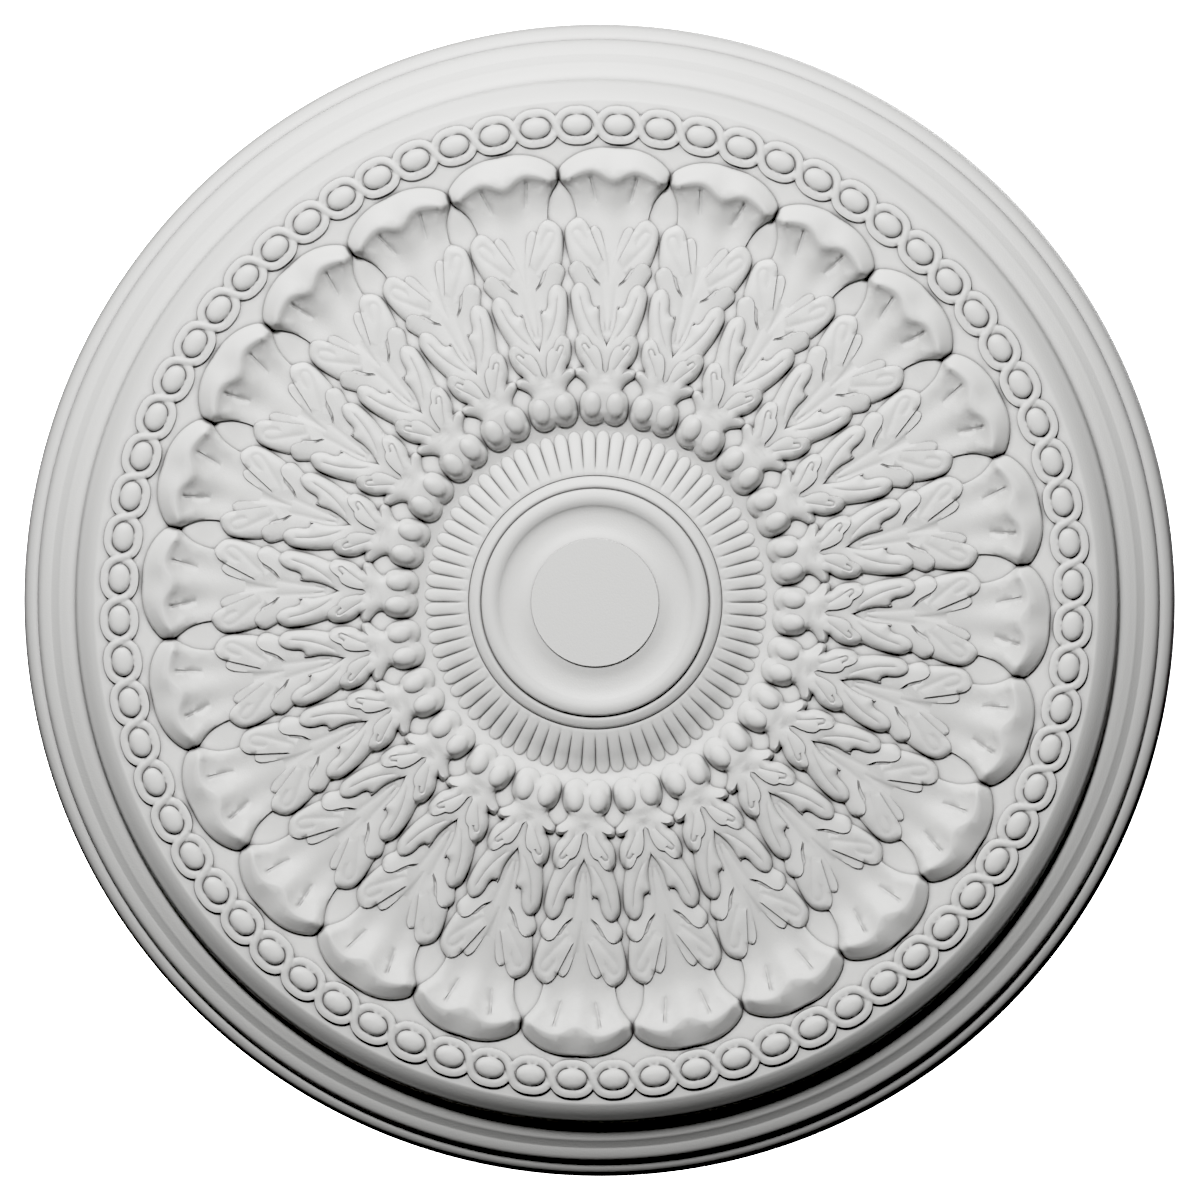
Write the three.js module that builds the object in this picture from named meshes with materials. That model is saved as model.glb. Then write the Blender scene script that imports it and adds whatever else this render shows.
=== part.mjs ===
import * as THREE from "three";
import { mergeVertices } from "three/addons/utils/BufferGeometryUtils.js";

// A moulded ceiling rose, cast in one piece. Sizes are in millimetres, angles in degrees.
// Its closed surface is a nest of rings, from the flat back over the rim and the carved face to
// the boss, with a strip of triangles between each ring and the next. It is worked out lying on
// its back, with heights in Z, and is stood upright at the end.

// Driving dimensions
const OUTER_RADIUS = 350;
const EDGE_HEIGHT = 5;
const RIM_HEIGHT = 18;
const BOSS_HEIGHT = 54;
const SECTORS = 24;
const BEADS = 72;
const TONGUES = 72;
const RIM_POINTS = 48;
const BOSS_POINTS = 36;
const SECTOR_TURN = 2.5;
const BEAD_TURN = 0.3;

// The rim: edge, torus, roll, fillet and ogee, as radius and height
const RIM = [
  [OUTER_RADIUS, 0],
  [OUTER_RADIUS, EDGE_HEIGHT],
  [345.6, 10.5],
  [340.8, 12.8],
  [337.8, RIM_HEIGHT],
  [327.5, RIM_HEIGHT + 5.6],
  [317, 29],
  [313.6, 36.8],
];

// The dished ground that carries the ornament, from the band to the boss
const GROUND = [
  [304, 44.2],
  [276.2, 43.8],
  [250, 42.4],
  [225, 42.6],
  [185, 43.1],
  [155, 42.5],
  [125, 41.3],
  [104.5, 40.5],
];

// The boss: skirt, torus, flat ring, hollow and central disc
const BOSS = [
  [88, 46.2],
  [76.8, 49],
  [72.4, 51.8],
  [69, 50.8],
  [66.8, BOSS_HEIGHT],
  [59.6, BOSS_HEIGHT],
  [51, 51.2],
  [39.2, 52.6],
  [38.6, BOSS_HEIGHT],
];

// The guilloche band, scalloped on both sides, and the oval beads in it
const BAND = { radius: 289, foot: 12, top: 10.4, notch: 3.6, rise: 2.6 };
const BEAD = { halfWidth: 8.8, halfHeight: 6.2, rise: 3.4 };

// The tongues around the boss, with the grooves between them
const TONGUE = { foot: 103.5, top: 101.5, notch: 3, rise: 1.8, groove: 1.5 };

// The ornament of a sector's right half. Points are given as distance from the sector's axis,
// distance from the centre, and rise above the ground, from the axis to the last point before
// the sector's border, where each line ends on the bare ground at its border radius.

// A petal: its foot, the crest of its rolled lip, the floor and sides of its bell, and its neck
const PETAL_LINES = [
  { points: [[0, 275, 0], [17, 273, 0], [28.6, 266.4, 0], [33, 260, 0]], border: 258 },
  { points: [[0, 256.5, 9.4], [13.5, 261, 9.4], [24, 260.5, 9.2], [30.3, 258.5, 7.6]], border: 255 },
  { points: [[0, 251, 5], [12, 255.5, 5], [21, 255, 5], [25, 249, 4.4], [27.5, 247.5, 0]], border: 246 },
  { points: [[0, 236, 2.4], [19.6, 235, 3], [22, 234.5, 0]], border: 233 },
];

// The leaf's three rows of paired lobes: each lobe's foot, the middle that its top is drawn in
// towards, and the border radius of its foot
const LEAF_ROWS = [
  {
    foot: [[0, 197, 2], [10, 227.8, 2], [17.2, 231.4, 1.5], [23.5, 232.4, 0], [28.6, 225, 1]],
    middle: [14, 212],
    border: 211,
  },
  {
    foot: [[0, 158, 2], [5.2, 178, 2.2], [13.2, 190.2, 2.2], [18, 193.4, 2], [23, 188, 1]],
    middle: [13, 174],
    border: 182,
  },
  {
    foot: [[0, 141, 2], [6.2, 155.6, 2.2], [11.2, 160.8, 2.2], [15.8, 162.4, 2], [19.2, 157.4, 1]],
    middle: [10, 146],
    border: 152,
  },
];

// How far a lobe's top is drawn in, its rise, and the rise of the notch between a pair of lobes
const LOBE_INSET = 2.8;
const LOBE_RISE = 4.6;
const NOTCH_RISE = 2.4;

// A bud, half of a pair that is joined on the axis
const BUD_LINES = [
  { points: [[0, 130.5, 3], [7.5, 128.8, 3.2], [13, 127.6, 0.4]], border: 129 },
  { points: [[0, 118, 3], [3, 119.5, 6.6], [10.4, 118.5, 6.6], [14.4, 118, 0.4]], border: 118 },
  { points: [[0, 110.4, 0.4], [5.6, 107.7, 0], [11.2, 109.4, 0]], border: 112 },
];

// How much a difference in height counts against a distance where two rings are joined
const HEIGHT_WEIGHT = 1.5;

const degrees = THREE.MathUtils.degToRad;

// Height of the plain ground at a radius
function groundHeight(radius) {
  const next = GROUND.findIndex(([r], i) => i > 0 && r <= radius);
  const [r0, h0] = GROUND[next - 1];
  const [r1, h1] = GROUND[next];
  return h0 + ((r0 - radius) / (r0 - r1)) * (h1 - h0);
}

// A ring point at a radius and height, turned clockwise from the top of the face
function ringPoint(radius, height, turn) {
  const angle = degrees(turn);
  return new THREE.Vector3(radius * Math.sin(angle), radius * Math.cos(angle), height);
}

// Points spread evenly around the axis, where odd ones may have their own radius and height
function evenRing(count, even, odd = even, firstTurn = 0) {
  return Array.from({ length: count }, (_, i) => {
    return ringPoint(...(i % 2 ? odd : even), firstTurn + (360 * i) / count);
  });
}

function plainRings(profile, count) {
  return profile.map((point) => evenRing(count, point));
}

// One stretch of a ring, repeated clockwise around the axis
function repeated(points, count, firstTurn = 0) {
  const axis = new THREE.Vector3(0, 0, 1);
  return Array.from({ length: count }, (_, i) => {
    const angle = -degrees(firstTurn + (360 * i) / count);
    return points.map((point) => point.clone().applyAxisAngle(axis, angle));
  }).flat();
}

// A sector's line from border to border, made from its right half
function sectorRing({ points, border }) {
  const right = points.map(([across, out, rise]) => {
    return new THREE.Vector3(across, out, groundHeight(Math.hypot(across, out)) + rise);
  });
  const left = right.slice(1).map((point) => point.clone().setX(-point.x));
  const borderPoint = ringPoint(border, groundHeight(border), 180 / SECTORS);
  return repeated([...left.reverse(), ...right, borderPoint], SECTORS);
}

// The foot and the top of a row of lobes: the top is drawn in towards the lobe's middle
function leafRings({ foot, middle, border }) {
  const centre = new THREE.Vector2(...middle);
  const top = foot.map(([across, out]) => {
    const point = new THREE.Vector2(across, out);
    const inset = centre.clone().sub(point).setLength(LOBE_INSET).add(point);
    return across === 0 ? [0, out - LOBE_INSET, NOTCH_RISE] : [inset.x, inset.y, LOBE_RISE];
  });
  return [
    sectorRing({ points: foot, border }),
    sectorRing({ points: top, border: border - LOBE_INSET }),
  ];
}

// A side of the band: sign 1 is the outer one, -1 the inner one
function bandRing(reach, rise, sign) {
  const height = groundHeight(BAND.radius + sign * BAND.foot) + rise;
  const peak = [BAND.radius + sign * reach, height];
  const notch = [BAND.radius + sign * (reach - BAND.notch), height];
  return evenRing(2 * BEADS, peak, notch, BEAD_TURN);
}

// The outer side, crest line and inner side of the six-sided beads
function beadRings() {
  const seat = groundHeight(BAND.radius) + BAND.rise;
  const halfTurn = THREE.MathUtils.radToDeg(BEAD.halfWidth / BAND.radius);
  const side = (sign) => {
    const radius = BAND.radius + sign * BEAD.halfHeight;
    return [ringPoint(radius, seat, -halfTurn / 2), ringPoint(radius, seat, halfTurn / 2)];
  };
  const crest = [
    ringPoint(BAND.radius, seat, -halfTurn),
    ringPoint(BAND.radius, seat + BEAD.rise, 0),
    ringPoint(BAND.radius, seat, halfTurn),
  ];
  return [side(1), crest, side(-1)].map((points) => repeated(points, BEADS, BEAD_TURN));
}

function tongueRings() {
  const { foot, top, notch, rise, groove } = TONGUE;
  const low = GROUND.at(-1)[1];
  return [
    evenRing(2 * TONGUES, [foot, low], [foot - notch, low]),
    evenRing(2 * TONGUES, [top, low + rise], [top - notch, low + rise - groove]),
  ];
}

// How badly two points of neighbouring rings go together: by their distance around the axis and
// by their difference in height, which keeps crest on crest and foot on foot
function mismatch(p, q) {
  const around = Math.abs(p.x * q.y - p.y * q.x) / Math.hypot(q.x, q.y);
  return around + HEIGHT_WEIGHT * Math.abs(p.z - q.z);
}

function nearest(ring, point) {
  const distances = ring.map((other) => other.distanceTo(point));
  return distances.indexOf(Math.min(...distances));
}

// Triangles between a ring and the next one inside it, stepping along either to the better match.
// A ring comes with the number of its first point in the whole surface.
function stripTriangles(outer, outerStart, inner, innerStart) {
  const triangles = [];
  const first = nearest(inner, outer[0]);
  const outerIndex = (i) => i % outer.length;
  const innerIndex = (j) => (first + j) % inner.length;
  let i = 0;
  let j = 0;
  while (i < outer.length || j < inner.length) {
    const outerStep = mismatch(outer[outerIndex(i + 1)], inner[innerIndex(j)]);
    const innerStep = mismatch(outer[outerIndex(i)], inner[innerIndex(j + 1)]);
    const side = [outerStart + outerIndex(i), innerStart + innerIndex(j)];
    if (j === inner.length || (i < outer.length && outerStep <= innerStep)) {
      i += 1;
      triangles.push([...side, outerStart + outerIndex(i)]);
    } else {
      j += 1;
      triangles.push([...side, innerStart + innerIndex(j)]);
    }
  }
  return triangles;
}

// The whole surface: strips between the rings, closed by the back and by the boss's disc
function roseGeometry() {
  const rings = [
    ...plainRings(RIM, RIM_POINTS),
    evenRing(BEADS, GROUND[0], GROUND[0], BEAD_TURN),
    bandRing(BAND.foot, 0, 1),
    bandRing(BAND.top, BAND.rise, 1),
    ...beadRings(),
    bandRing(BAND.top, BAND.rise, -1),
    bandRing(BAND.foot, 0, -1),
    ...PETAL_LINES.map(sectorRing),
    ...LEAF_ROWS.flatMap(leafRings),
    ...BUD_LINES.map(sectorRing),
    evenRing(TONGUES, GROUND.at(-1)),
    ...tongueRings(),
    ...plainRings(BOSS, BOSS_POINTS),
  ];
  const starts = rings.map((_, i) => rings.slice(0, i).flat().length);
  const points = rings.flat();
  const triangles = rings.slice(1).flatMap((inner, i) => {
    return stripTriangles(rings[i], starts[i], inner, starts[i + 1]);
  });
  const backCentre = points.push(new THREE.Vector3(0, 0, 0)) - 1;
  const faceCentre = points.push(new THREE.Vector3(0, 0, BOSS_HEIGHT)) - 1;
  for (let i = 0; i < RIM_POINTS; i++) {
    triangles.push([i, (i + 1) % RIM_POINTS, backCentre]);
  }
  const disc = starts.at(-1);
  for (let i = 0; i < BOSS_POINTS; i++) {
    triangles.push([disc + ((i + 1) % BOSS_POINTS), disc + i, faceCentre]);
  }
  return mergeVertices(new THREE.BufferGeometry().setFromPoints(points).setIndex(triangles.flat()));
}

// Upright: the flat back faces +Y and the carved face looks along -Y
const whitePaint = new THREE.MeshStandardMaterial({ color: 0xe6e5e0, roughness: 0.7, metalness: 0 });
const rose = new THREE.Mesh(roseGeometry(), whitePaint);
rose.name = "ceiling_rose";
rose.rotation.set(Math.PI / 2, 0, -degrees(SECTOR_TURN));

const group = new THREE.Group();
group.add(rose);

export default group;
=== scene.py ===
import math

import bpy
import numpy as np
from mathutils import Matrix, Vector
from mathutils.geometry import delaunay_2d_cdt


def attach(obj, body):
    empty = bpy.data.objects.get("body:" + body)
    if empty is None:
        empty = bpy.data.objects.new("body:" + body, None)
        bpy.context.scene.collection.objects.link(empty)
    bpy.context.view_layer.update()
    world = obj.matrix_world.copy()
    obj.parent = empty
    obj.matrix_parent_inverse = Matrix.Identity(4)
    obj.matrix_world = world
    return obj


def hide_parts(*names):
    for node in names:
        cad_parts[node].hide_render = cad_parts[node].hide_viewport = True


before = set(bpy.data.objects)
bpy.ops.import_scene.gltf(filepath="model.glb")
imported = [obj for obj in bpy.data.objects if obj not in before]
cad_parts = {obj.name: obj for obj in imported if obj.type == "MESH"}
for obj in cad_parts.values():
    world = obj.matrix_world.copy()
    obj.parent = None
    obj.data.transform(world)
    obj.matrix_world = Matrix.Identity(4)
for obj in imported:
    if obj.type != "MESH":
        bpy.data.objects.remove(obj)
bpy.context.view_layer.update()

# A moulded ceiling rose, upright, with its flat back at y = 0 and its carved face towards -Y.
# Sizes are in millimetres until the mesh is made, and angles in degrees.
# The face is worked out as heights over a flat plan: forms are laid one over the other, as they
# were carved, on a turned ground. Plan points are (across, out) from a motif's axis.

MM = 0.001
OUTER_RADIUS = 350
SECTORS = 24
SECTOR_TURN = 2.5
BEADS = 72
BEAD_TURN = 2.8
BEAD_CIRCLE = 289.0
TONGUES = 72
RIM_COLUMNS = 216
BOSS_COLUMNS = 144

# Where one zone of the face ends and the next begins, from the rim to the boss
BAND_ZONE = (276.7, 303.4)
LEAF_ZONE = (104.9, 276.2)
TONGUE_ZONE = (77.2, 104.4)

# Spacing of loose mesh points between the carved lines and of their rows, and how close points may come
FILL_STEP = 3.3
FILL_ROW_STEP = 0.866 * FILL_STEP
CLEAR = 0.26
MERGE = 0.01

# Spacing of points along the turned profiles
PROFILE_STEP = 1.6

# How sharp a crease has to be to stay sharp in the shading
CREASE_ANGLE = 52

# Profiles as radius and height, in strokes that are smooth in themselves and meet in corners
RIM_PROFILE = [
    [(OUTER_RADIUS, 0), (349.9, 1.2)],
    [(349.9, 1.2), (349.5, 3.4), (348.9, 5.8), (347.9, 8.2), (346.4, 10), (344.3, 11.5), (342.2, 12.4),
     (340.8, 12.6)],
    [(340.8, 12.6), (340.3, 14.6), (339.4, 16.3), (338.2, 17.6), (336.6, 18.6)],
    [(336.6, 18.6), (332.3, 20.8)],
    [(332.3, 20.8), (331.8, 20.9)],
    [(331.8, 20.9), (331.5, 21.2)],
    [(331.5, 21.2), (327.9, 22.9)],
    [(327.9, 22.9), (327.6, 23.3)],
    [(327.6, 23.3), (325, 24.6), (322.6, 25.9), (320.4, 26.9), (318.2, 27.9), (317, 28.9), (316.4, 30.7),
     (315.9, 33), (315.1, 35), (313, 37.1), (310.2, 39.8), (307.2, 42.2), (303.9, 44.2)],
]
BOSS_PROFILE = [
    [(77, 48.7), (76.7, 48.3)],
    [(76.7, 48.3), (76.4, 49.3), (75.4, 50.1), (73.6, 51), (71.8, 51.6), (70.4, 51.8), (69.5, 51.4),
     (69, 50.9)],
    [(69, 50.9), (68.7, 52.5), (68.1, 53.6), (67.1, 54)],
    [(67.1, 54), (59.6, 54)],
    [(59.6, 54), (58.9, 53.1), (57.6, 52.2), (55.6, 51.4), (53, 50.9), (49, 50.7), (45.5, 51), (42.4, 51.8),
     (40, 52.5), (38.9, 52.7)],
    [(38.9, 52.7), (38.5, 54)],
    [(38.5, 54), (20, 54)],
]
GROUND = [
    (304, 44.2), (290, 44.8), (280, 44.4), (262, 42.8), (250, 41.2), (238, 39.6), (225, 39.7), (210, 40.9),
    (195, 42.2), (175, 44), (155, 45.6), (140, 46.2), (125, 45.8), (116, 44.6), (110, 42.8), (106, 41.2),
    (102, 40.4), (98, 41.2), (95, 42.3), (91, 44.1), (88, 45.3), (85, 46.4), (81, 47.7), (77.2, 48.8),
]


def spaced(line, step):
    """The same line with points about a step apart."""
    runs = np.linalg.norm(np.diff(line, axis=0), axis=1)
    along = np.concatenate([[0.0], np.cumsum(runs)])
    places = np.linspace(0, along[-1], max(2, round(along[-1] / step) + 1))
    return np.stack([np.interp(places, along, column) for column in line.T], axis=1)


def smooth(points, step=0.4):
    """A smooth line through the points, as points about a step apart."""
    points = np.array(points, float)
    chords = np.diff(points, axis=0)
    spans = np.sqrt(np.linalg.norm(chords, axis=1))[:, None]
    slopes = chords / spans
    inner = (slopes[:-1] * spans[1:] + slopes[1:] * spans[:-1]) / (spans[:-1] + spans[1:])
    tangents = np.vstack([slopes[:1], inner, slopes[-1:]])
    knots = np.concatenate([[0.0], np.cumsum(spans)])
    places = np.linspace(0, knots[-1], 40 * len(points))
    i = np.clip(np.searchsorted(knots, places, side="right") - 1, 0, len(spans) - 1)
    span = spans[i]
    s = (places - knots[i])[:, None] / span
    line = (
        points[i] * (1 + 2 * s) * (1 - s) ** 2
        + tangents[i] * span * s * (1 - s) ** 2
        + points[i + 1] * s**2 * (3 - 2 * s)
        + tangents[i + 1] * span * s**2 * (s - 1)
    )
    return spaced(line, step)


def beside(line, reach):
    """A line beside another, to its left in the plan where the reach is positive."""
    tangents = np.gradient(line, axis=0)
    normals = tangents[:, ::-1] * (-1, 1)
    return line + reach * normals / np.linalg.norm(normals, axis=1)[:, None]


def nearest(points, line):
    """Each point's distance to a line, and how far along the line that is, from 0 to 1."""
    starts = line[:-1]
    runs = np.diff(line, axis=0)
    offsets = points[:, None] - starts
    share = np.clip((offsets * runs).sum(-1) / np.maximum((runs**2).sum(-1), 1e-12), 0, 1)
    gaps = np.linalg.norm(offsets - share[..., None] * runs, axis=-1)
    best = gaps.argmin(1)
    each = np.arange(len(points))
    return gaps[each, best], (best + share[each, best]) / len(runs)


def depth_inside(points, outline):
    """Distance to a closed outline, positive inside it."""
    x, y = points[:, :1], points[:, 1:]
    x0, y0 = outline[:-1].T
    x1, y1 = outline[1:].T
    between = (y0 > y) != (y1 > y)
    climb = np.where(y1 == y0, 1.0, y1 - y0)
    crossings = between & (x < x0 + (y - y0) * (x1 - x0) / climb)
    inside = crossings.sum(1) % 2 == 1
    return np.where(inside, 1, -1) * nearest(points, outline)[0]


def rounded(share):
    """A quarter round, from 0 at its foot, where it is steep, to 1 where it is level."""
    return np.sqrt(1 - (1 - np.clip(share, 0, 1)) ** 2)


GROUND_LINE = smooth(GROUND[::-1], 1.0).T


def ground(points):
    """Height of the turned ground under the forms."""
    return np.interp(np.linalg.norm(points, axis=1), *GROUND_LINE)


def mirrored(line):
    return line[::-1] * (-1, 1)


class Groove:
    """A cut along a line, with a depth at either end. A slot has a flat floor, a vein is hollow."""

    def __init__(self, points, width, start, end, slot=False):
        self.line = smooth(points)
        self.width = width
        self.depths = (start, end)
        self.power = 6 if slot else 2
        self.reaches = (-1.2, -0.7, 0.7, 1.2) if slot else (-1.3, 0, 1.3)

    def cut(self, points):
        gap, share = nearest(points, self.line)
        return np.interp(share, (0, 1), self.depths) * np.exp(-((gap / self.width) ** self.power))

    def lines(self):
        for reach in self.reaches:
            yield beside(self.line, reach * self.width)


class Form:
    """A raised form with a low wall all around and a dome on it.

    Its outline runs along lead, which is hidden or level with its neighbour, then along the
    visible edges, which meet in corners, and closes by root, hidden again. A paired form is drawn
    from axis to axis and mirrored. Rises are given at distances from the centre.
    """

    WALL_WIDTH = 0.6
    DOME_POWER = 2

    def __init__(self, edges, rises=(), root=(), lead=(), side=4.6, wall=1.3, grooves=(), paired=False):
        self.edges = [smooth(edge) for edge in edges]
        ends = [np.array(points, float).reshape(-1, 2) for points in (lead, root)]
        half = np.vstack([ends[0], *self.edges, ends[1]])
        other = mirrored(half) if paired else half[:0]
        self.outline = np.vstack([half, other, half[:1]])
        self.rises = np.array(rises, float)
        self.side = side
        self.wall = wall
        self.grooves = list(grooves)

    def depth(self, points):
        return depth_inside(points, self.outline)

    def side_at(self, points, depth):
        return self.side

    def profile(self, points, depth, height):
        """What of a height is reached at a depth from the outline."""
        wall = np.clip(height, 0, self.wall)
        dome = 1 - (1 - np.clip(depth / self.side_at(points, depth), 0, 1)) ** self.DOME_POWER
        return wall * rounded(depth / self.WALL_WIDTH) + np.maximum(height - self.wall, 0) * dome

    def rise(self, points):
        return np.interp(points[:, 1], *self.rises.T)

    def laid_over(self, points, below):
        """The face's height once this form is laid over what is below."""
        depth = self.depth(points)
        top = ground(points) + self.rise(points)
        for groove in self.grooves:
            top = top - groove.cut(points)
        return np.where(depth > 0, below + self.profile(points, depth, top - below), below)

    def lines(self):
        """The lines that the mesh has to follow."""
        for edge in self.edges:
            side = np.sign(self.depth(beside(edge, 0.05)).mean())
            for inset in self.insets():
                line = beside(edge, side * inset)
                kept = self.depth(line) > inset - 0.1
                yield from stretches(line, kept)
        for groove in self.grooves:
            yield from groove.lines()

    def insets(self):
        return 0.0, 0.45, 0.5 * self.side


def stretches(line, kept):
    """The stretches of a line whose points are kept."""
    cuts = np.flatnonzero(np.diff(kept.astype(int))) + 1
    for part, keep in zip(np.split(line, cuts), np.split(kept, cuts)):
        if keep[0] and len(part) > 2:
            yield part


class Petal(Form):
    """A bell-shaped petal: a sloping lip with a wavy crest, over a throat with two flutes."""

    CREST = smooth([(0, 255.2), (4, 256.6), (8, 259.2), (13.5, 260.8), (20, 259.2), (28, 255), (36, 250)])
    CREST_RISE = 10.4
    ROLL = 2.2
    DOME_POWER = 1.4
    FLANKS = np.array([(232, 2.4), (250, 5)], float)
    THROAT = 28.0
    THROAT_RISE = 2.0
    FLUTE_WIDTH = np.array([(190, 16), (232, 19.3), (239, 21), (249, 25), (256, 29)], float)
    FLUTE_DEPTH = np.array([(200, 0.2), (235, 1.0), (249, 1.7), (257, 0.3)], float)

    def side_at(self, points, depth):
        """How far in the dome ends: at the crest above it, and near the outline below it."""
        beyond = points[:, 1] - np.interp(np.abs(points[:, 0]), *self.CREST.T)
        return np.maximum(np.interp(points[:, 1], *self.FLANKS.T), depth + np.maximum(beyond, 0))

    def rise(self, points):
        across = np.abs(points[:, 0])
        out = points[:, 1]
        below = (np.interp(across, *self.CREST.T) - out + self.ROLL) / self.THROAT
        below = np.clip(below, 0, 1)
        roll = 0.4 * (1 - np.clip(below * 4, 0, 1) ** 2) ** 2 + 0.6 * (1 - below**1.3) ** 2
        throat = self.THROAT_RISE + (self.CREST_RISE - self.THROAT_RISE) * roll
        flute = np.sin(np.pi * np.clip(across / np.interp(out, *self.FLUTE_WIDTH.T), 0, 1)) ** 2
        return throat - np.interp(out, *self.FLUTE_DEPTH.T) * flute

    def lines(self):
        yield from super().lines()
        for drop in (-self.ROLL, 0, 2.2, 5.0, 8.5):
            line = self.CREST - (0, drop)
            yield line[self.depth(line) > 1.5]

    def insets(self):
        return 0.0, 0.45, 2.0, 7.0


class Strand(Form):
    """A strand of the guilloche along a centre line, lifted at one crossing and lowered at the other."""

    HALF_WIDTH = 2.8
    RISE = 2.7
    CROSSING = 4.5
    LIFT = 0.3
    DIP = 1.3

    def __init__(self, points, lifted, lowered):
        self.line = smooth(points)
        self.crossings = ((np.array(lifted), self.LIFT), (np.array(lowered), -self.DIP))
        self.side = self.HALF_WIDTH
        self.wall = 1.6

    def depth(self, points):
        return self.HALF_WIDTH - nearest(points, self.line)[0]

    def rise(self, points):
        rise = np.full(len(points), self.RISE)
        for place, lift in self.crossings:
            gap = np.linalg.norm(points - place, axis=1) / self.CROSSING
            rise += lift * np.exp(-(gap**2))
        return rise

    def laid_over(self, points, below):
        depth = self.depth(points)
        top = ground(points) + self.profile(points, depth, self.rise(points))
        return np.where(depth > 0, np.maximum(top, below), below)

    def lines(self):
        for share in (-1, -0.82, 0, 0.82, 1):
            yield beside(self.line, share * self.HALF_WIDTH)


def zone_plan(border, forms, step, woven=False):
    """Plan points and triangles inside a closed border, following the visible lines of the forms.

    Woven forms lie over and under each other, so that none hides another's lines.
    """
    ring = np.arange(len(border) - 1)
    points = [border[:-1]]
    edges = [(i, (i + 1) % len(ring)) for i in ring]
    count = len(ring)
    for level, form in enumerate(forms):
        for line in form.lines():
            line = spaced(line, step)
            seen = depth_inside(line, border) > CLEAR
            for upper in [] if woven else forms[level + 1:]:
                seen &= upper.depth(line) < -CLEAR
            for part in stretches(line, seen):
                others = np.vstack(points)
                gaps = np.linalg.norm(part[:, None] - others, axis=-1).min(1)
                for run in stretches(part, gaps > CLEAR):
                    points.append(run)
                    edges += [(count + i, count + i + 1) for i in range(len(run) - 1)]
                    count += len(run)
    low, high = border.min(0), border.max(0)
    rows = np.arange(low[1], high[1], FILL_ROW_STEP)
    columns = np.arange(low[0], high[0], FILL_STEP)
    loose = np.array([(x + FILL_STEP / 2 * (k % 2), y) for k, y in enumerate(rows) for x in columns])
    loose = loose[depth_inside(loose, border) > 0.5 * FILL_STEP]
    gaps = np.linalg.norm(loose[:, None] - np.vstack(points), axis=-1).min(1)
    points.append(loose[gaps > 0.55 * FILL_STEP])
    plan = [Vector(p) for p in np.vstack(points)]
    made, _, triangles, *_ = delaunay_2d_cdt(plan, edges, [], 1, 1e-4)
    return np.array(made, float), np.array(triangles)


def relief(points, forms):
    """The face's height with all forms laid over each other."""
    height = ground(points)
    for form in forms:
        height = form.laid_over(points, height)
    return height


# The leaf zone's forms, from the lowest to the highest, as right halves of a sector
PETAL = Petal(
    edges=[[(0, 275.5), (10, 275), (20, 272.3), (28, 267.6), (33, 262.5), (34, 259.8)],
           [(34, 259.8), (33.3, 254.5), (29.6, 250.2), (25.5, 244.5), (22.8, 237), (21.6, 231)]],
    root=[(15, 215), (5, 195), (0, 190)],
    wall=1.6,
    grooves=[Groove([(14, 257), (12.4, 251), (10.4, 243)], 0.9, 1.0, 0.5, slot=True)],
    paired=True,
)
EYE = Groove([(6.6, 192.6), (8.4, 194.4), (10.8, 197.8), (13, 201.5)], 0.8, 0.9, 0.5, slot=True)
STEM = Form(
    edges=[[(0, 194), (0.8, 201.5), (2.5, 210.5), (5, 219.5), (7.5, 225.5), (10.5, 227.8), (13.4, 226)]],
    root=[(19, 221), (17, 205), (14, 188), (12, 165), (5, 150), (0, 150)],
    rises=[(150, 1.8), (182, 1.9), (192, 2.2), (200, 2.3), (227, 2.6)],
    grooves=[EYE, Groove([(1.2, 164), (2.6, 174), (3.4, 184), (4.4, 193)], 0.8, 0.7, 0.4)],
    paired=True,
)
TIP = Form(
    edges=[[(5, 208), (8, 214.4), (11, 220.8), (13.4, 226)],
           [(13.4, 226), (16.5, 230.4), (21, 232.3), (25.2, 230), (28.4, 225), (28.6, 219), (27.1, 212.6),
            (24.5, 205)]],
    root=[(20, 197), (12, 192), (6, 198)],
    rises=[(198, 2.8), (212, 4.0), (231, 4.0)],
    grooves=[Groove([(9, 203), (14.5, 209.5), (20, 215.4), (23.4, 219.8), (23.8, 223.4), (21.2, 225.4),
                     (18, 223), (15.4, 218.6)], 0.8, 0.5, 0.6), EYE],
)
EAR = Form(
    edges=[[(7.4, 193.2), (9.4, 194.8), (11.6, 197.6), (13.6, 201), (16, 204.4), (19.5, 206.2), (22.6, 205),
            (25, 202), (25.3, 199), (23.5, 195.5), (21.5, 192.5)]],
    root=[(18, 180), (9, 178)],
    rises=[(180, 1.6), (192, 2.8), (205, 4.6)],
)
LONG = Form(
    edges=[[(0, 156.3), (2, 160.5), (3.8, 165.5), (4.9, 171), (5, 175.5), (5.6, 179.8)],
           [(5.6, 179.8), (7, 178.8), (8.8, 178.9), (10.4, 181.4), (11.5, 186), (14, 190.8), (17.8, 193.1),
            (21.6, 190.8), (23.4, 186), (23, 180), (21, 172), (18, 163.5)]],
    root=[(14, 152), (8, 140), (4, 128), (0, 126)],
    rises=[(126, 2.4), (150, 3.6), (165, 4.8), (180, 5.2), (192, 4.8)],
    grooves=[Groove([(5.6, 160), (10.4, 167), (14.4, 175), (17.2, 184)], 0.8, 0.7, 0.8)],
    paired=True,
)
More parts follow.
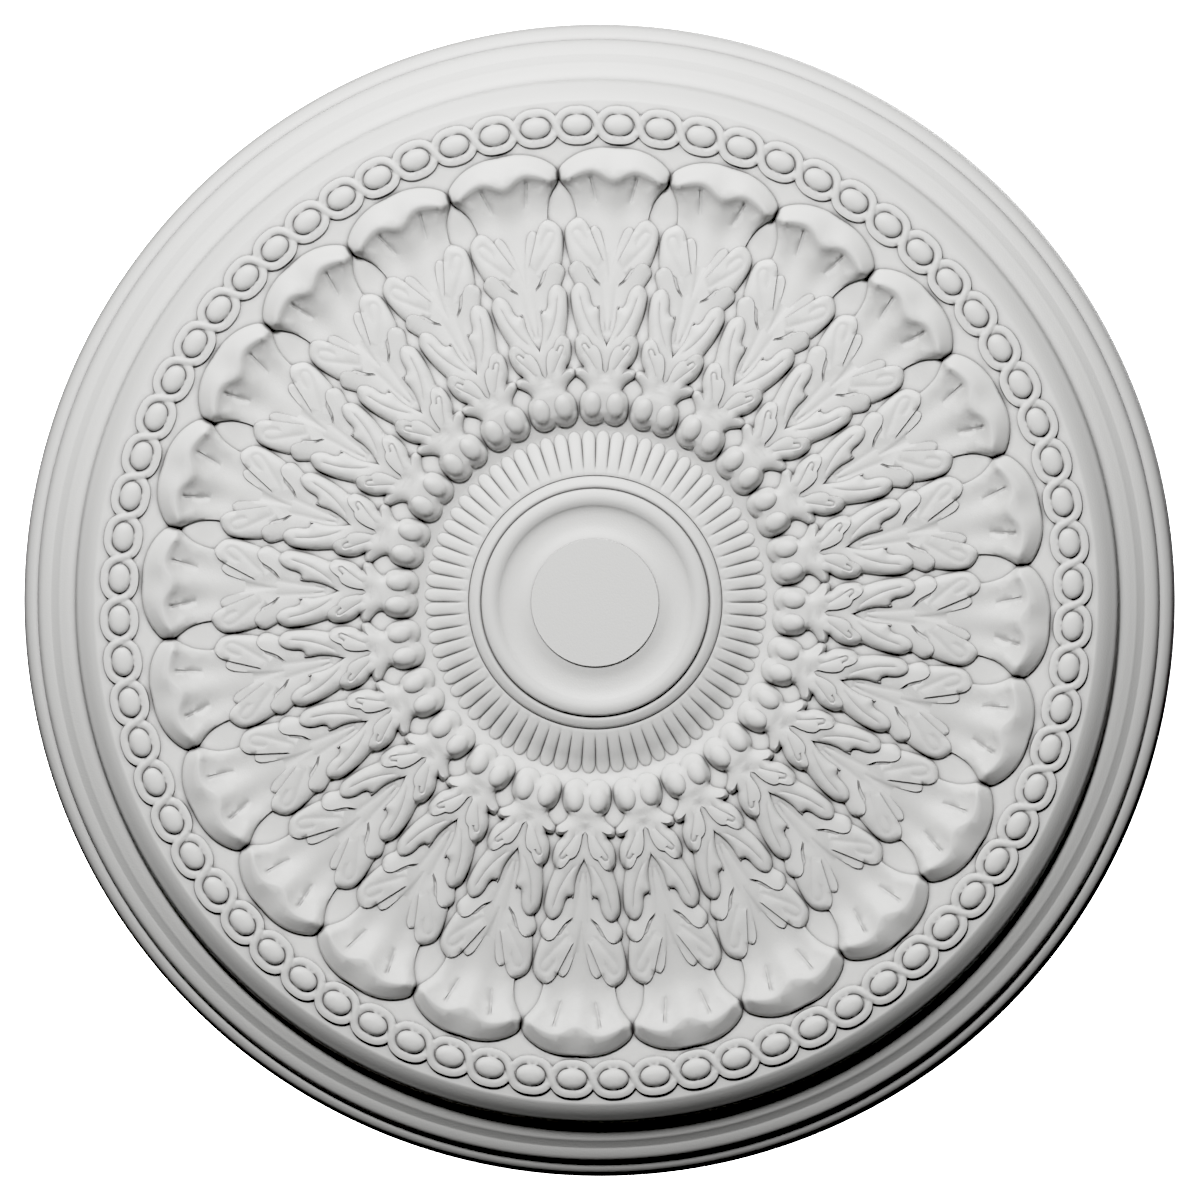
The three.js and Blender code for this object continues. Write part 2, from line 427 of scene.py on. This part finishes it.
LOW = Form(
    edges=[[(1.4, 141), (2, 146.5), (3.4, 151.4), (5.6, 154.8), (8.4, 156)],
           [(8.4, 156), (10, 158.5), (12.5, 161.3), (15.6, 162), (18.6, 159.6), (19.4, 156), (18.9, 151.4),
            (16.6, 146), (13.3, 142)]],
    root=[(10, 134), (3, 134)],
    rises=[(136, 4.6), (150, 5.6), (160, 5.4)],
    grooves=[Groove([(5.6, 141), (9.6, 147), (13.6, 152.6), (14.8, 155.2), (13, 156.2), (10.4, 153.6)],
                    0.7, 0.6, 0.9)],
)
BASE = Form(
    lead=[(0, 136), (6, 139)],
    edges=[[(13.3, 142), (16, 141.8), (18.6, 140.2), (18.4, 137), (15, 134.4), (12, 131.8), (10.4, 128.3)]],
    root=[(8, 122), (0, 122)],
    rises=[(122, 3.4), (128, 3.8), (134, 4.6), (140, 5.4)],
    paired=True,
)
BUD_EGG = [(7.1 + 5.5 * math.sin(a), 119.6 - 7.6 * math.cos(a)) for a in np.linspace(0, 2 * math.pi, 17)]
CUP = Form(
    edges=[[(0, 110.3), (2, 108.5), (6.5, 107.2), (10.6, 108.4), (14, 112), (15, 117), (14.5, 122.5),
            (12.6, 126.8), (9.5, 128.8)]],
    root=[(5, 130), (0, 130.5)],
    rises=[(107, 4.6), (130, 5.2)],
    side=5.0,
    wall=1.2,
    paired=True,
)
EGG = Form(edges=[BUD_EGG], rises=[(107, 7.4), (130, 7.6)], side=5.4, wall=0.7)
LEAF_FORMS = [PETAL, STEM, TIP, EAR, LONG, LOW, BASE, CUP, EGG]

# Where lines of these forms meet the axis of the sector
AXIS_MARKS = (110.5, 156.5, 194, 253, 255.2, 257.4, 275.5)


def polar_line(radius, first_turn, last_turn, step):
    """Plan points along an arc."""
    count = max(2, round(math.radians(abs(last_turn - first_turn)) * radius / step) + 1)
    turns = np.radians(np.linspace(first_turn, last_turn, count))
    return radius * np.stack([np.sin(turns), np.cos(turns)], axis=1)


def wedge_border(zone, half_turn, step, marks=()):
    """Border of a half motif: its axis, the outer arc, its far side and the inner arc."""
    low, high = zone
    marks = [out for out in marks if low < out < high]
    steps = np.linspace(low, high, round((high - low) / step) + 1)
    plain = [out for out in steps[1:-1] if all(abs(out - mark) > 0.6 * step for mark in marks)]
    axis = np.array(sorted([low, high, *marks, *plain]))
    axis = np.stack([0 * axis, axis], axis=1)
    far = spaced(np.array([polar_line(r, half_turn, half_turn, 1)[0] for r in (high, low)]), 1.4 * step)
    outer = polar_line(high, 0, half_turn, 1.3 * step)
    inner = polar_line(low, half_turn, 0, 1.3 * step)
    return np.vstack([axis[:-1], outer[:-1], far[:-1], inner])


def repeated(plan, heights, triangles, count, first_turn, mirror):
    """Points in 3-D and triangles of a motif around the whole face."""
    angles = np.arctan2(*plan.T)
    radii = np.linalg.norm(plan, axis=1)
    points = []
    faces = []
    for k in range(count):
        turn = math.radians(first_turn + 360 * k / count)
        for side in ((1, -1) if mirror else (1,)):
            turned = turn + side * angles
            faces.append(triangles[:, ::side] + sum(map(len, points)))
            points.append(np.stack([radii * np.sin(turned), radii * np.cos(turned), heights], axis=1))
    return np.vstack(points), np.vstack(faces)


def leaf_zone():
    border = wedge_border(LEAF_ZONE, 180 / SECTORS, step=2.0, marks=AXIS_MARKS)
    plan, triangles = zone_plan(border, LEAF_FORMS, step=1.8)
    return repeated(plan, relief(plan, LEAF_FORMS), triangles, SECTORS, SECTOR_TURN, True)


# A tongue of the boss, as a right half
TONGUE = Form(
    edges=[[(0, 104.0), (2, 103.4), (3.4, 101.8), (4.1, 98.8), (3.9, 94), (3.64, 88), (3.38, 82),
            (3.26, 79)]],
    root=[(0, 78)],
    rises=[(79, 0.2), (84, 0.9), (88, 1.4), (92, 1.7), (98, 1.6), (103, 1.2)],
    side=3.0,
    wall=0.7,
    paired=True,
)


def tongue_zone():
    border = wedge_border(TONGUE_ZONE, 180 / TONGUES, step=2.2, marks=(104.0,))
    plan, triangles = zone_plan(border, [TONGUE], step=1.7)
    return repeated(plan, relief(plan, [TONGUE]), triangles, TONGUES, SECTOR_TURN, True)


# The guilloche: a bead with the strands around it, drawn unrolled along the bead circle
PITCH = 2 * math.pi * BEAD_CIRCLE / BEADS
BEND = [(0, 9.2), (4, 8.9), (8, 7.3), (10.7, 4.4)]
WAVE = BEND + [(PITCH / 2, 0)] + [(PITCH - x, -y) for x, y in reversed(BEND)]


def bent(points):
    """Unrolled points bent around the bead circle."""
    along, out = np.array(points, float).T
    turns = along / BEAD_CIRCLE
    radii = out + BEAD_CIRCLE
    return np.stack([radii * np.sin(turns), radii * np.cos(turns)], axis=1)


def strand(sign):
    """The strand that passes above the bead, or the one that passes below it."""
    wave = [(-x, y) for x, y in WAVE[:0:-1]] + WAVE
    crossings = bent([(sign * PITCH / 2, 0), (-sign * PITCH / 2, 0)])
    return Strand(bent([(x, sign * y) for x, y in wave]), *crossings)


BEAD = Form(
    edges=[bent([(9 * math.sin(a), 6.6 * math.cos(a)) for a in np.linspace(0, 2 * math.pi, 17)])],
    rises=[(270, 4.6), (300, 4.6)],
    side=5.5,
    wall=1.4,
)
SEAT = Form(
    edges=[],
    root=bent([(10.4 * math.sin(a), 7.8 * math.cos(a)) for a in np.linspace(0, 2 * math.pi, 33)]),
    rises=[(270, 1.4), (300, 1.4)],
)
BAND_FORMS = [SEAT, strand(1), strand(-1), BEAD]


def band_zone():
    low, high = BAND_ZONE
    reach = 180 / BEADS
    sides = [spaced(np.array([polar_line(r, turn, turn, 1)[0] for r in radii]), 1.2)
             for turn, radii in ((-reach, (low, high)), (reach, (high, low)))]
    outer = polar_line(high, -reach, reach, step=3)
    inner = polar_line(low, reach, -reach, step=3)
    border = np.vstack([sides[0][:-1], outer[:-1], sides[1][:-1], inner])
    plan, triangles = zone_plan(border, BAND_FORMS, step=1.9, woven=True)
    return repeated(plan, relief(plan, BAND_FORMS), triangles, BEADS, BEAD_TURN, False)


def stroke_line(stroke):
    """The two ends of a straight stroke, or points along a curved one."""
    return np.array(stroke, float) if len(stroke) == 2 else spaced(smooth(stroke), PROFILE_STEP)


def lathe(profile, columns):
    """A turned surface: rings of points, outermost first."""
    strokes = [stroke_line(stroke) for stroke in profile]
    line = np.vstack([strokes[0], *[stroke[1:] for stroke in strokes[1:]]])
    turns = 2 * np.pi * np.arange(columns) / columns
    points = []
    triangles = []
    for k, (radius, height) in enumerate(line):
        points.append(np.stack([radius * np.sin(turns), radius * np.cos(turns), 0 * turns + height], axis=1))
        if k:
            a = (k - 1) * columns + np.arange(columns)
            b = (k - 1) * columns + (np.arange(columns) + 1) % columns
            triangles.append(np.stack([a, a + columns, b], axis=1))
            triangles.append(np.stack([b, a + columns, b + columns], axis=1))
    return np.vstack(points), np.vstack(triangles)


def angles_of(points):
    """Clockwise angles from the top of the face."""
    return np.arctan2(points[:, 0], points[:, 1]) % (2 * np.pi)


def ring_of(points, outer):
    """Numbers of a zone's outermost or innermost points, in order around the axis."""
    radius = np.hypot(*points[:, :2].T)
    wanted = radius.max() if outer else radius.min()
    ring = np.flatnonzero(np.abs(radius - wanted) < MERGE)
    return ring[np.argsort(angles_of(points[ring]))]


def stitched(points, outer, inner):
    """Triangles between two rings of points, in order of their angles."""
    outer_turns = np.append(angles_of(points[outer]), 2 * np.pi + angles_of(points[outer[:1]]))
    inner_turns = np.append(angles_of(points[inner]), 2 * np.pi + angles_of(points[inner[:1]]))
    triangles = []
    i = j = 0
    while i < len(outer) or j < len(inner):
        a, c = outer[i % len(outer)], inner[j % len(inner)]
        if j == len(inner) or (i < len(outer) and outer_turns[i + 1] <= inner_turns[j + 1]):
            i += 1
            triangles.append((a, c, outer[i % len(outer)]))
        else:
            j += 1
            triangles.append((a, c, inner[j % len(inner)]))
    return np.array(triangles)


def merged(points, triangles):
    """The same height field with points that fall together in the plan made one."""
    places = np.round(points[:, :2] / MERGE).astype(int)
    _, first, which = np.unique(places, axis=0, return_index=True, return_inverse=True)
    return points[first], which.reshape(-1)[triangles]


def rose_surface():
    """Points and triangles of the whole closed casting, lying on its back."""
    zones = [lathe(RIM_PROFILE, RIM_COLUMNS), merged(*band_zone()), merged(*leaf_zone()),
             merged(*tongue_zone()), lathe(BOSS_PROFILE, BOSS_COLUMNS)]
    starts = np.cumsum([0] + [len(points) for points, _ in zones])
    points = np.vstack([points for points, _ in zones])
    triangles = [faces + start for (_, faces), start in zip(zones, starts)]
    for (upper, _), start, (lower, _), next_start in zip(zones, starts, zones[1:], starts[1:]):
        triangles.append(stitched(points, ring_of(upper, False) + start, ring_of(lower, True) + next_start))
    points = np.vstack([points, [(0, 0, 0), (0, 0, BOSS_PROFILE[-1][-1][1])]])
    back = np.flatnonzero(points[:-2, 2] == 0)
    back = back[np.argsort(angles_of(points[back]))]
    disc = ring_of(zones[-1][0], False) + starts[-2]
    triangles.append(np.stack([back, np.roll(back, -1), 0 * back + len(points) - 2], axis=1))
    triangles.append(np.stack([np.roll(disc, -1), disc, 0 * disc + len(points) - 1], axis=1))
    return points, np.vstack(triangles)


def add_rose(material):
    """The casting as one piece, set upright."""
    points, triangles = rose_surface()
    mesh = bpy.data.meshes.new("ceiling_rose_casting")
    upright = np.stack([points[:, 0], -points[:, 2], points[:, 1]], axis=1) * MM
    mesh.from_pydata(upright.tolist(), [], triangles.tolist())
    mesh.validate()
    mesh.polygons.foreach_set("use_smooth", [True] * len(mesh.polygons))
    mesh.set_sharp_from_angle(angle=math.radians(CREASE_ANGLE))
    mesh.materials.append(material)
    piece = bpy.data.objects.new("ceiling_rose_casting", mesh)
    bpy.context.scene.collection.objects.link(piece)
    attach(piece, "root")
    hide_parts("ceiling_rose")


def primer_material():
    """Matt white primer with a fine grain, with painted shade: its colour darkens in the crevices and at the
    feet of the forms.
    """
    material = bpy.data.materials.new("white_primer")
    material.use_nodes = True
    nodes, links = material.node_tree.nodes, material.node_tree.links
    shader = nodes["Principled BSDF"]
    shader.inputs["Roughness"].default_value = 0.6
    # Painted shade: ambient occlusion turns the base colour grey to near black in crevices and at the feet
    # of walls, where shade falls.
    crevice_shade = nodes.new("ShaderNodeAmbientOcclusion")
    crevice_shade.only_local = True
    crevice_shade.samples = 8
    crevice_shade.inputs["Distance"].default_value = 0.004
    painted_shade_tint = nodes.new("ShaderNodeValToRGB")
    low, high = painted_shade_tint.color_ramp.elements
    low.position, low.color = 0.5, (0.16, 0.157, 0.155, 1)
    high.position, high.color = 0.97, (0.79, 0.788, 0.775, 1)
    soft = painted_shade_tint.color_ramp.elements.new(0.8)
    soft.color = (0.64, 0.636, 0.63, 1)
    links.new(crevice_shade.outputs["AO"], painted_shade_tint.inputs["Fac"])
    links.new(painted_shade_tint.outputs["Color"], shader.inputs["Base Color"])
    grain = nodes.new("ShaderNodeTexNoise")
    grain.inputs["Scale"].default_value = 900
    grain.inputs["Detail"].default_value = 3
    place = nodes.new("ShaderNodeTexCoord")
    bump = nodes.new("ShaderNodeBump")
    bump.inputs["Strength"].default_value = 0.25
    bump.inputs["Distance"].default_value = 0.0004
    links.new(place.outputs["Object"], grain.inputs["Vector"])
    links.new(grain.outputs["Fac"], bump.inputs["Height"])
    links.new(bump.outputs["Normal"], shader.inputs["Normal"])
    return material


def add_spot(name, power, turn, lift, distance, radius):
    """A lamp aimed at the rose, clockwise from the top of its face and lifted off the face's plane."""
    turn, lift = math.radians(turn), math.radians(lift)
    towards = Vector((math.cos(lift) * math.sin(turn), -math.sin(lift), math.cos(lift) * math.cos(turn)))
    light = bpy.data.lights.new(name, "SPOT")
    light.energy = power
    light.shadow_soft_size = radius
    light.spot_size = 2.2 * math.atan((OUTER_RADIUS * MM + radius) / distance)
    light.spot_blend = 0.2
    lamp = bpy.data.objects.new(name, light)
    bpy.context.scene.collection.objects.link(lamp)
    lamp.location = towards * distance
    lamp.rotation_euler = (-towards).to_track_quat("-Z", "Y").to_euler()


# The camera, in metres: square to the face but for a few degrees to the right and up
CAMERA_DISTANCE = 12.0
CAMERA_RIGHT = 2.55
CAMERA_UP = 1.25
CAMERA_AIM = (0.0007, 0.0, 0.0004)
SENSOR_WIDTH = 36

# Pixels: the width of the photo, and the radius of the rose in it
PHOTO_SIZE = 1200
PHOTO_RADIUS = 576.2

# The floor, in metres
FLOOR_REACH = 3.0
FLOOR_LEVEL = -2.5

# The picture's tones: what it shows as black, and how it holds back the highlights
BLACK_LEVEL = 0.03
MIDTONE = (0.58, 0.59)
HIGHLIGHT = (1.0, 0.83)


def add_camera():
    camera = bpy.data.cameras.new("camera")
    camera.sensor_width = SENSOR_WIDTH
    camera.lens = SENSOR_WIDTH * CAMERA_DISTANCE * PHOTO_RADIUS / PHOTO_SIZE / (OUTER_RADIUS * MM)
    piece = bpy.data.objects.new("camera", camera)
    bpy.context.scene.collection.objects.link(piece)
    right, up = math.radians(CAMERA_RIGHT), math.radians(CAMERA_UP)
    back = Vector((math.sin(right) * math.cos(up), -math.cos(right) * math.cos(up), math.sin(up)))
    piece.location = Vector(CAMERA_AIM) + back * CAMERA_DISTANCE
    piece.rotation_euler = (-back).to_track_quat("-Z", "Y").to_euler()
    bpy.context.scene.camera = piece


def add_lights():
    """A soft key lamp from above, a lamp for the back, and a faint even light before a white backdrop."""
    add_spot("key", power=345, turn=-11, lift=53, distance=3.0, radius=0.22)
    add_spot("back_light", power=260, turn=40, lift=-62, distance=3.0, radius=0.8)
    world = bpy.data.worlds.new("studio")
    bpy.context.scene.world = world
    world.use_nodes = True
    nodes, links = world.node_tree.nodes, world.node_tree.links
    background = nodes["Background"]
    background.inputs["Color"].default_value = (1, 1, 1, 1)
    background.inputs["Strength"].default_value = 0.03
    backdrop = nodes.new("ShaderNodeBackground")
    backdrop.inputs["Color"].default_value = (1, 1, 1, 1)
    backdrop.inputs["Strength"].default_value = 6.0
    path = nodes.new("ShaderNodeLightPath")
    mix = nodes.new("ShaderNodeMixShader")
    links.new(path.outputs["Is Camera Ray"], mix.inputs["Fac"])
    links.new(background.outputs[0], mix.inputs[1])
    links.new(backdrop.outputs[0], mix.inputs[2])
    links.new(mix.outputs[0], nodes["World Output"].inputs["Surface"])


def add_floor():
    """A pale floor well below the rose, which throws no light back on it."""
    signs = (-1, -1), (1, -1), (1, 1), (-1, 1)
    corners = [(x * FLOOR_REACH, y * FLOOR_REACH, FLOOR_LEVEL) for x, y in signs]
    mesh = bpy.data.meshes.new("floor")
    mesh.from_pydata(corners, [], [(0, 1, 2, 3)])
    material = bpy.data.materials.new("pale_floor")
    material.use_nodes = True
    shader = material.node_tree.nodes["Principled BSDF"]
    shader.inputs["Base Color"].default_value = (0.85, 0.85, 0.84, 1)
    shader.inputs["Roughness"].default_value = 0.9
    shader.inputs["Emission Color"].default_value = (1, 1, 1, 1)
    shader.inputs["Emission Strength"].default_value = 1.1
    mesh.materials.append(material)
    floor = bpy.data.objects.new("floor", mesh)
    floor.visible_diffuse = False
    floor.visible_glossy = False
    bpy.context.scene.collection.objects.link(floor)


def set_tones():
    """Deep blacks and soft highlights, as in the photo."""
    tones = bpy.context.scene.view_settings
    tones.view_transform = "Standard"
    tones.use_curve_mapping = True
    tones.curve_mapping.black_level = (BLACK_LEVEL, BLACK_LEVEL, BLACK_LEVEL)
    shoulder = tones.curve_mapping.curves[3].points
    shoulder[-1].location = HIGHLIGHT
    shoulder.new(*MIDTONE)
    tones.curve_mapping.update()


add_rose(primer_material())
add_camera()
add_lights()
add_floor()
set_tones()
